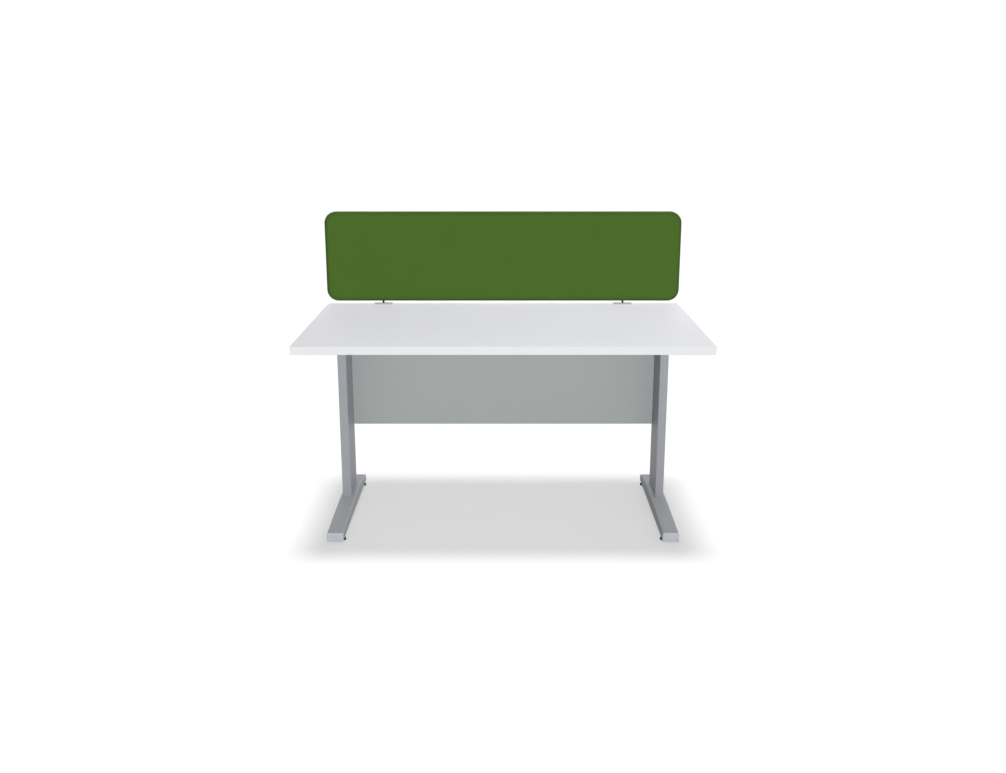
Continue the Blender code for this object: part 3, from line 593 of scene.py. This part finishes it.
def upholstered(name, sy, stands_for):
    """One face of the screen: fabric stretched over thin foam. The skin is
    inflated as cloth held at the seam and lightly by the foam behind it, then
    closed behind with the pocket that takes the core board."""
    stations = skin_rings(sy)
    points, rim, rings = [], [], []
    for inset, y, r in stations:
        ring = []
        for x, z in outline(inset):
            ring.append(len(points))
            points.append(Vector((x, y, z)))
            rim.append(r)
        rings.append(ring)
    faces = []
    for a, b in zip(rings, rings[1:]):
        for i in range(len(a)):
            j = (i + 1) % len(a)
            faces.append((a[i], a[j], b[j], b[i]))
    # inside the last ring, whose corners are points, a plain grid
    last = rings[-1]
    cx, cz = HALF_W - CORNER, (TOP - BOTTOM) / 2 - CORNER
    grid = {}
    per_corner = []
    index = 0
    for k in range(4):
        per_corner.append(index)
        index += NC + (NX if k % 2 == 0 else NZ)

    def border(k, i):
        """Ring index of point i along straight side k."""
        return last[(per_corner[k] + NC + i) % len(last)]

    for i in range(NX + 1):
        for j in range(NZ + 1):
            if j == NZ:
                grid[i, j] = border(0, NX - i) if i > 0 else border(1, 0)
            elif j == 0:
                grid[i, j] = border(2, i) if i < NX else border(3, 0)
            elif i == 0:
                grid[i, j] = border(1, NZ - j)
            elif i == NX:
                grid[i, j] = border(3, j)
            else:
                grid[i, j] = len(points)
                x = -cx + 2 * cx * i / NX
                z = MIDDLE_Z - cz + 2 * cz * j / NZ
                points.append(Vector((x, SEAM_Y + sy * DEPTH, z)))
                rim.append(0.0)
    for i in range(NX):
        for j in range(NZ):
            faces.append((grid[i, j], grid[i + 1, j], grid[i + 1, j + 1], grid[i, j + 1]))

    mesh = bpy.data.meshes.new(name + "_skin")
    mesh.from_pydata([tuple(p) for p in points], [], faces)
    # the rim attribute carries the painted shade round the screen's edge
    level = mesh.attributes.new("rim", "FLOAT", "POINT")
    level.data.foreach_set("value", rim)
    level = mesh.attributes.new("held", "FLOAT", "POINT")
    held = []
    for i, p in enumerate(points):
        t = abs(p.y - SEAM_Y)
        if i < 3 * len(rings[0]):
            held.append(1.0)
        else:
            # foam behind the fabric, a little uneven
            held.append(0.10 + 0.05 * noise.noise(Vector((p.x * 9, t * 4 + sy, p.z * 9))))
    level.data.foreach_set("value", held)
    bm = bmesh.new()
    bm.from_mesh(mesh)
    bmesh.ops.remove_doubles(bm, verts=bm.verts, dist=1e-6)
    bmesh.ops.recalc_face_normals(bm, faces=bm.faces)
    # outward is away from the core on the face
    biggest = max(bm.faces, key=lambda f: f.calc_area())
    if biggest.normal.y * sy < 0:
        bmesh.ops.reverse_faces(bm, faces=bm.faces)
    bm.to_mesh(mesh)
    bm.free()

    start = [v.co.copy() for v in mesh.vertices]
    skin = bpy.data.objects.new(name + "_skin", mesh)
    scene.collection.objects.link(skin)
    pin = skin.vertex_groups.new(name="pin")
    weights = [0.0] * len(mesh.vertices)
    mesh.attributes["held"].data.foreach_get("value", weights)
    for i, w in enumerate(weights):
        pin.add([i], min(1.0, max(0.0, w)), "REPLACE")
    cloth = skin.modifiers.new("stretch", "CLOTH")
    s = cloth.settings
    s.quality = 6
    s.mass = 0.35
    s.tension_stiffness = s.compression_stiffness = 30
    s.shear_stiffness = 15
    s.bending_stiffness = 1.5
    s.tension_damping = s.compression_damping = 15
    s.air_damping = 2
    s.use_pressure = True
    s.uniform_pressure_force = 3.0
    s.vertex_group_mass = "pin"
    s.pin_stiffness = 3.0
    s.effector_weights.gravity = 0
    cloth.collision_settings.use_collision = False
    cloth.collision_settings.use_self_collision = False
    cloth.point_cache.frame_start, cloth.point_cache.frame_end = 1, 20
    for f in range(1, 21):
        scene.frame_set(f)
    graph = bpy.context.evaluated_depsgraph_get()
    blown = skin.evaluated_get(graph)
    after = [v.co.copy() for v in blown.data.vertices]
    print("cloth", name, "largest move", max((a - b).length for a, b in zip(after, start)))
    bpy.data.objects.remove(skin)
    scene.frame_set(1)

    limit = 0.0022  # the foam is thin, so the fabric can't stand far off it
    final = []
    for a, b in zip(start, after):
        move = b - a
        length = move.length
        if length > 1e-9:
            move *= limit * math.tanh(length / limit) / length
        final.append(a + move)

    # pleats pulled in round the corners, where the fabric turns over the edge
    for i, p in enumerate(final):
        ax, az = abs(p.x) - (HALF_W - CORNER), abs(p.z - MIDDLE_Z) - ((TOP - BOTTOM) / 2 - CORNER)
        if ax > 0 and az > 0:
            r = math.hypot(ax, az)
            t = math.atan2(az, ax)
            amount = max(0.0, 1 - abs(r - (CORNER - 0.004)) / 0.016) * sin(2 * t) ** 2
            wave = 0.00022 * amount * cos(t * 26 + sy)
            out = Vector((ax / r * (1 if p.x > 0 else -1), 0, az / r * (1 if p.z > MIDDLE_Z else -1)))
            final[i] = p + out * wave + Vector((0, sy * wave, 0))

    bm = bmesh.new()
    layer = bm.verts.layers.float.new("rim")
    values = [0.0] * len(mesh.vertices)
    mesh.attributes["rim"].data.foreach_get("value", values)
    made = []
    for p, value in zip(final, values):
        v = bm.verts.new(p)
        v[layer] = value
        made.append(v)
    for poly in mesh.polygons:
        bm.faces.new([made[i] for i in poly.vertices])
    bm.verts.index_update()
    border_edges = [e for e in bm.edges if e.is_boundary]
    order = [border_edges[0].verts[0]]
    used = set()
    while True:
        v = order[-1]
        step = next((e for e in v.link_edges if e.is_boundary and e not in used), None)
        if step is None:
            break
        used.add(step)
        nxt = step.other_vert(v)
        if nxt is order[0]:
            break
        order.append(nxt)

    def pocket_ring(inset, t):
        out = []
        for v in order:
            x, z = v.co.x, v.co.z
            # move in along the outline's own normal
            ax, az = abs(x) - (HALF_W - CORNER), abs(z - MIDDLE_Z) - ((TOP - BOTTOM) / 2 - CORNER)
            sx, sz = (1 if x > 0 else -1), (1 if z > MIDDLE_Z else -1)
            if ax > 0 and az > 0:
                n = Vector((sx * ax, 0, sz * az)).normalized()
                k = CORNER - inset
                q = Vector((sx * (HALF_W - CORNER), 0, MIDDLE_Z + sz * ((TOP - BOTTOM) / 2 - CORNER))) + n * k
            elif ax > az:
                q = Vector((sx * (HALF_W - inset), 0, z))
            else:
                q = Vector((x, 0, MIDDLE_Z + sz * ((TOP - BOTTOM) / 2 - inset)))
            w = bm.verts.new((q.x, SEAM_Y + sy * t, q.z))
            w[layer] = 1.0
            out.append(w)
        return out

    walls = [order, pocket_ring(POCKET, 0.0003), pocket_ring(POCKET, (core_high.y - core_low.y) / 2 + 0.0003)]
    for a, b in zip(walls, walls[1:]):
        for i in range(len(a)):
            j = (i + 1) % len(a)
            bm.faces.new((a[i], a[j], b[j], b[i]))
    bm.faces.new(walls[-1])
    obj = piece(name, bm, GREEN, body_of(stands_for), (stands_for,), smooth=60)
    # the holes that the posts pass through
    for side, s in SIDES:
        post = centre(f"{side}_screen_post")
        drill = bpy.data.meshes.new("drill")
        hole = turned([(0, BOTTOM - 0.02), (0.0052, BOTTOM - 0.02), (0.0052, BOTTOM + 0.012), (0, BOTTOM + 0.012)], post, 28)
        bmesh.ops.recalc_face_normals(hole, faces=hole.faces)
        hole.to_mesh(drill)
        hole.free()
        tool = bpy.data.objects.new("drill", drill)
        scene.collection.objects.link(tool)
        cut = obj.modifiers.new("hole", "BOOLEAN")
        cut.operation, cut.solver, cut.object = "DIFFERENCE", "EXACT", tool
        bpy.context.view_layer.update()
        solid = bpy.data.meshes.new_from_object(obj.evaluated_get(bpy.context.evaluated_depsgraph_get()))
        obj.modifiers.remove(cut)
        old = obj.data
        obj.data = solid
        solid.name = name
        bpy.data.meshes.remove(old)
        bpy.data.objects.remove(tool)
    while len(obj.data.materials) > 1:
        obj.data.materials.pop(index=len(obj.data.materials) - 1)
    return obj


upholstered("front_upholstery", -1, "screen_front_pad")
upholstered("rear_upholstery", 1, "screen_rear_pad")

# ------------------------------------------------------------------------ desktop
# the board, closed up to the banding so that only a fine glue line shows
reach = 0.00022
piece(
    "desktop_board",
    rounded_block(
        (desk_low.x - reach, desk_low.y - reach, desk_low.z), (desk_high.x + reach, desk_high.y + reach, desk_high.z), 0.00025, 2
    ),
    WHITE,
    body_of("desk_top"),
    ("desk_top",),
)

# ------------------------------------------------------ glides: pads and stems
def oval(c, half_x, half_y, inset, z, segments=96):
    """A pointed oval, the glide's outline, at the given height."""
    rx, ry = half_x - inset, half_y - inset
    turns = [2 * pi * i / segments for i in range(segments)]
    return [(c.x + rx * cos(a), c.y + ry * sin(a) * abs(sin(a)) ** 0.4, z) for a in turns]


for side, s in SIDES:
    for end in ("front", "rear"):
        node = f"glide_pad_{end}_{side}"
        low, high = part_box(node)
        c = (low + high) / 2
        hx, hy, h = (high.x - low.x) / 2, (high.y - low.y) / 2, high.z
        skirt = [(0.0068, 0.0004), (0.0062, 0.0), (0.0012, 0.0)]
        skirt += [(0.0012 - 0.0012 * sin(t), 0.0012 - 0.0012 * cos(t)) for t in (pi / 8, pi / 4, 3 * pi / 8, pi / 2)]
        skirt += [(0.0, h - 0.0026)]
        skirt += [(0.0016 - 0.0016 * cos(t), h - 0.0026 + 0.0016 * sin(t)) for t in (pi / 8, pi / 4, 3 * pi / 8)]
        skirt += [(0.0022, h - 0.0007), (0.0040, h - 0.0003), (0.0044, h - 0.0005), (0.0050, h - 0.0005), (0.0054, h - 0.0003)]
        rings = [[(c.x, c.y, 0.0004)]] + [oval(c, hx, hy, inset, z) for inset, z in skirt]
        for radius, z in (
            (0.0112, h - 0.0003),
            (0.0108, h),
            (0.0096, h),
            (0.0092, h - 0.0004),
            (0.0092, 0.0034),
            (0.0088, 0.0030),
        ):
            rings.append(around(radius, z, c, 96))
        rings.append([(c.x, c.y, 0.0030)])
        piece(
            f"{end}_{side}_glide_foot", loft(rings, closed_ends=False), BLACK, body_of(node), (node,)
        )
        node = f"glide_stem_{end}_{side}"
        low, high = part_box(node)
        stem = threaded(c, 0.0105, high.z, 0.005, 0.0015, 0.0042)
        shank = turned(
            [(0, low.z)]
            + [(0.0030, low.z), (0.0046, low.z + 0.0006), (0.0055, low.z + 0.0018), (0.0055, low.z + 0.0030), (0.0045, low.z + 0.0040)]
            + [(0.0045, 0.0105), (0, 0.0105)],
            c,
            32,
        )
        collar = loft(
            [
                [(c.x, c.y, 0.0079)],
                around(0.0072, 0.0079, c, 6),
                around(0.0081, 0.0083, c, 6),
                around(0.0081, 0.0103, c, 6),
                around(0.0072, 0.0107, c, 6),
                [(c.x, c.y, 0.0107)],
            ],
            closed_ends=False,
        )
        whole = bmesh.new()
        for part in (stem, shank, collar):
            temp = bpy.data.meshes.new("part")
            bmesh.ops.recalc_face_normals(part, faces=part.faces)
            part.to_mesh(temp)
            part.free()
            whole.from_mesh(temp)
            bpy.data.meshes.remove(temp)
        mesh = bpy.data.meshes.new("stem")
        whole.to_mesh(mesh)
        whole.free()
        obj = bpy.data.objects.new(f"{end}_{side}_glide_screw", mesh)
        scene.collection.objects.link(obj)
        mesh.materials.append(ZINC)
        mesh.shade_smooth()
        mesh.set_sharp_from_angle(angle=radians(32))
        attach(obj, body_of(node))
        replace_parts(obj, node)

# --------------------------------------------------- clamp screws, pads, knobs
for side, s in SIDES:
    node = f"{side}_clamp_screw"
    low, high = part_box(node)
    c = (low + high) / 2
    piece(
        f"{side}_clamp_spindle",
        threaded(c, low.z, high.z, 0.004, 0.00125, 0.0033),
        ZINC,
        body_of(node),
        (node,),
        smooth=32,
    )
    node = f"{side}_clamp_pad"
    low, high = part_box(node)
    r = (high.x - low.x) / 2
    piece(
        f"{side}_clamp_shoe",
        turned(
            [(0, high.z)]
            + [(r - 0.0006, high.z), (r, high.z - 0.0006), (r, high.z - 0.0048)]
            + fillet(r - 0.0020, low.z + 0.0020, 0.0020, 0, -90, 5)
            + [(0.0056, low.z), (0.0048, low.z + 0.0006), (0.0048, 0.6990), (0, 0.6990)],
            c,
            56,
        ),
        BLACK,
        body_of(node),
        (node,),
    )
    node = f"{side}_clamp_knob"
    low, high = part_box(node)
    z0, z1 = low.z, high.z

    def lobed(depth):
        return lambda t, r: r - 0.0022 * depth + 0.0022 * depth * cos(5 * t)

    R = 0.017
    rings = [[(c.x, c.y, z0 + 0.0012)]]
    for r, z, d in (
        (0.0040, z0 + 0.0012, 0.0),
        (0.0090, z0 + 0.0010, 0.1),
        (0.0112, z0 + 0.0002, 0.3),
        (0.0125, z0, 0.5),
        (R - 0.0028, z0, 0.9),
        (R - 0.0014, z0 + 0.0004, 1.0),
        (R - 0.0004, z0 + 0.0013, 1.0),
        (R, z0 + 0.0026, 1.0),
        (R, z0 + 0.0070, 1.0),
        (R - 0.0002, z0 + 0.0085, 1.0),
        (R - 0.0010, z0 + 0.0098, 1.0),
        (R - 0.0025, z0 + 0.0106, 0.9),
        (0.0100, z0 + 0.0112, 0.2),
        (0.0084, z0 + 0.0118, 0.0),
        (0.0078, z0 + 0.0128, 0.0),
        (0.0076, z1 - 0.0006, 0.0),
        (0.0070, z1, 0.0),
        (0.0048, z1, 0.0),
        (0.0043, z1 - 0.0005, 0.0),
        (0.0043, z0 + 0.0036, 0.0),
    ):
        rings.append(around(r, z, c, 80, "Z", lobed(d)))
    rings.append([(c.x, c.y, z0 + 0.0036)])
    piece(f"{side}_clamp_handle", loft(rings, closed_ends=False), BLACK, body_of(node), (node,), smooth=50)


# ------------------------------------------------------------- cross-head screws
def cross_recess(obj, c, axis, face, depth, arm, width):
    """A cross-head driver recess cut into a screw's head."""
    cutters = []
    for turn in (0, 1):
        a, b = (arm, width) if turn == 0 else (width, arm)
        if axis == "Z":
            low, high = (c.x - a, c.y - b, face - 0.002), (c.x + a, c.y + b, face + depth)
        else:
            low, high = (c.x - a, face - depth, c.z - b), (c.x + a, face + 0.002, c.z + b)
        bm = rounded_block(low, high, 0.0002, 1)
        bmesh.ops.recalc_face_normals(bm, faces=bm.faces)
        mesh = bpy.data.meshes.new("bit")
        bm.to_mesh(mesh)
        bm.free()
        tool = bpy.data.objects.new("bit", mesh)
        scene.collection.objects.link(tool)
        cutters.append(tool)
        cut = obj.modifiers.new("recess", "BOOLEAN")
        cut.operation, cut.solver, cut.object = "DIFFERENCE", "EXACT", tool
    bpy.context.view_layer.update()
    solid = bpy.data.meshes.new_from_object(obj.evaluated_get(bpy.context.evaluated_depsgraph_get()))
    obj.modifiers.clear()
    old = obj.data
    obj.data = solid
    bpy.data.meshes.remove(old)
    for tool in cutters:
        bpy.data.objects.remove(tool)
    while len(solid.materials) > 1:
        solid.materials.pop(index=len(solid.materials) - 1)
    solid.shade_smooth()
    solid.set_sharp_from_angle(angle=radians(40))


for side, s in SIDES:
    for which in ("front", "rear"):
        node = f"{side}_arm_screw_{which}"
        low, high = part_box(node)
        c = (low + high) / 2
        obj = piece(
            f"{side}_{which}_arm_fixing",
            turned(
                [(0, 0.6950), (0.0024, 0.6951), (0.0040, 0.6956), (0.0050, 0.6964), (0.0055, 0.6974)]
                + [(0.0055, 0.6983), (0.0022, 0.6984), (0.0022, 0.7130), (0, 0.7165)],
                c,
                32,
            ),
            ZINC,
            body_of(node),
            (node,),
        )
        cross_recess(obj, c, "Z", low.z, 0.0018, 0.0027, 0.0006)
    for which in ("lower", "upper"):
        node = f"{side}_panel_screw_{which}"
        low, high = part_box(node)
        c = (low + high) / 2
        y = high.y
        obj = piece(
            f"{side}_{which}_panel_fixing",
            turned(
                [(0, low.y), (0.0021, low.y + 0.0025), (0.0021, y - 0.0031), (0.0055, y - 0.0031)]
                + [(0.0055, y - 0.0020), (0.0050, y - 0.0011), (0.0040, y - 0.0004), (0.0024, y - 0.0001), (0, y)],
                c,
                32,
                "Y",
            ),
            ZINC,
            body_of(node),
            (node,),
        )
        cross_recess(obj, c, "Y", y, 0.0016, 0.0027, 0.0006)

# ------------------------------------------------------------- the rest of the CAD
EASE = {
    "modesty_panel": (0.0008, 3),
    "screen_core": (0.0005, 1),
    "cross_beam": (0.0008, 2),
}
replaced = {n for o in bpy.data.objects for n in o.get("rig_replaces", [])}
for name in sorted(CAD):
    if name in replaced:
        continue
    if name in EASE:
        dress(name, *EASE[name])
    elif name in ("edge_band_left", "edge_band_right"):
        dress(name, 0.00015, 1)
    elif name.startswith("edge_band"):
        dress(name, 0.0002, 2)
    elif "upright" in name or "top_arm" in name or "bracket" in name:
        dress(name, 0.0007, 3)
    elif "foot_cap" in name:
        dress(name, 0.0006, 3)
    elif name.endswith("_foot"):
        dress(name, 0.0007, 3)
    elif "cable_cover" in name:
        dress(name, 0.0004, 2)
    else:
        dress(name, 0.0003, 2)


# --------------------------------------------------------------- floor and light
def flat_shader(name):
    m = bpy.data.materials.new(name)
    m.use_nodes = True
    m.node_tree.nodes.clear()
    return m, m.node_tree


floor_mesh = bpy.data.meshes.new("floor")
reach = 40.0
floor_mesh.from_pydata(
    [(-reach, -reach, -0.0003), (reach, -reach, -0.0003), (reach, reach, -0.0003), (-reach, reach, -0.0003)],
    [],
    [(0, 1, 2, 3)],
)
floor = bpy.data.objects.new("floor", floor_mesh)
scene.collection.objects.link(floor)
m, t = flat_shader("floor")
out = t.nodes.new("ShaderNodeOutputMaterial")
diffuse = t.nodes.new("ShaderNodeBsdfDiffuse")
diffuse.inputs["Color"].default_value = (0.50, 0.50, 0.50, 1)
glow = t.nodes.new("ShaderNodeEmission")
glow.inputs["Color"].default_value = (1, 1, 1, 1)
rays = t.nodes.new("ShaderNodeLightPath")
level = t.nodes.new("ShaderNodeMath")
level.operation = "MULTIPLY"
level.inputs[1].default_value = 0.245
t.links.new(rays.outputs["Is Camera Ray"], level.inputs[0])
t.links.new(level.outputs[0], glow.inputs["Strength"])
both = t.nodes.new("ShaderNodeAddShader")
t.links.new(diffuse.outputs[0], both.inputs[0])
t.links.new(glow.outputs[0], both.inputs[1])
clear = t.nodes.new("ShaderNodeBsdfTransparent")
under = t.nodes.new("ShaderNodeNewGeometry")
pick = t.nodes.new("ShaderNodeMixShader")
t.links.new(under.outputs["Backfacing"], pick.inputs[0])
t.links.new(both.outputs[0], pick.inputs[1])
t.links.new(clear.outputs[0], pick.inputs[2])
t.links.new(pick.outputs[0], out.inputs["Surface"])
floor_mesh.materials.append(m)

world = bpy.data.worlds.new("studio")
scene.world = world
world.use_nodes = True
wt = world.node_tree
wt.nodes.clear()
wout = wt.nodes.new("ShaderNodeOutputWorld")
back = wt.nodes.new("ShaderNodeBackground")
back.inputs["Color"].default_value = (1, 1, 1, 1)
wrays = wt.nodes.new("ShaderNodeLightPath")
wmix = wt.nodes.new("ShaderNodeMapRange")
wmix.inputs["To Min"].default_value = 0.27
wmix.inputs["To Max"].default_value = 1.02
wt.links.new(wrays.outputs["Is Camera Ray"], wmix.inputs["Value"])
# mirrored rays see a brighter studio than the diffuse light gives
wgloss = wt.nodes.new("ShaderNodeMapRange")
wgloss.inputs["To Min"].default_value = 0.0
wgloss.inputs["To Max"].default_value = 0.38
wt.links.new(wrays.outputs["Is Glossy Ray"], wgloss.inputs["Value"])
wsum = wt.nodes.new("ShaderNodeMath")
wt.links.new(wmix.outputs["Result"], wsum.inputs[0])
wt.links.new(wgloss.outputs["Result"], wsum.inputs[1])
wt.links.new(wsum.outputs[0], back.inputs["Strength"])
wt.links.new(back.outputs[0], wout.inputs["Surface"])


def sun(name, towards, strength, angle, shadow=True):
    """Light that comes from the given direction."""
    data = bpy.data.lights.new(name, "SUN")
    data.energy = strength
    data.angle = radians(angle)
    data.use_shadow = shadow
    obj = bpy.data.objects.new(name, data)
    scene.collection.objects.link(obj)
    obj.rotation_euler = Vector(towards).normalized().to_track_quat("Z", "Y").to_euler()
    return obj


# soft overhead light for the floor alone: the desktop's shadow lies straight below
overhead = sun("overhead", (0, 0.05, 1), 2.3, 12.8)
only = bpy.data.collections.new("floor_only")
only.objects.link(floor)
overhead.light_linking.receiver_collection = only
# broad fill from the front, a little to the right, and a weaker one behind
front = sun("front_fill", (0.30, -0.55, 0.45), 0.88 * pi, 40, shadow=False)
rear = sun("rear_fill", (0.05, 0.80, 0.12), 0.38 * pi, 40, shadow=False)
front.visible_glossy = rear.visible_glossy = False
# a little more for the desktop, which the screen keeps from the sky
desk_fill = sun("desk_fill", (0, -0.2, 1), 0.11 * pi, 40, shadow=False)
strip_data = bpy.data.lights.new("desk_strip", "AREA")
strip_data.shape, strip_data.size, strip_data.size_y = "RECTANGLE", 2.4, 0.15
strip_data.energy, strip_data.use_shadow = 2.85, False
strip_data.color = (0.93, 0.81, 1.0)
desk_strip = bpy.data.objects.new("desk_strip", strip_data)
scene.collection.objects.link(desk_strip)
desk_strip.location = (0, 0.40, desk_high.z + 0.5)
desk_strip.visible_camera = desk_strip.visible_glossy = False
board_only = bpy.data.collections.new("board_only")
board_only.objects.link(bpy.data.objects["desktop_board"])
for light in (desk_fill, desk_strip):
    light.light_linking.receiver_collection = board_only
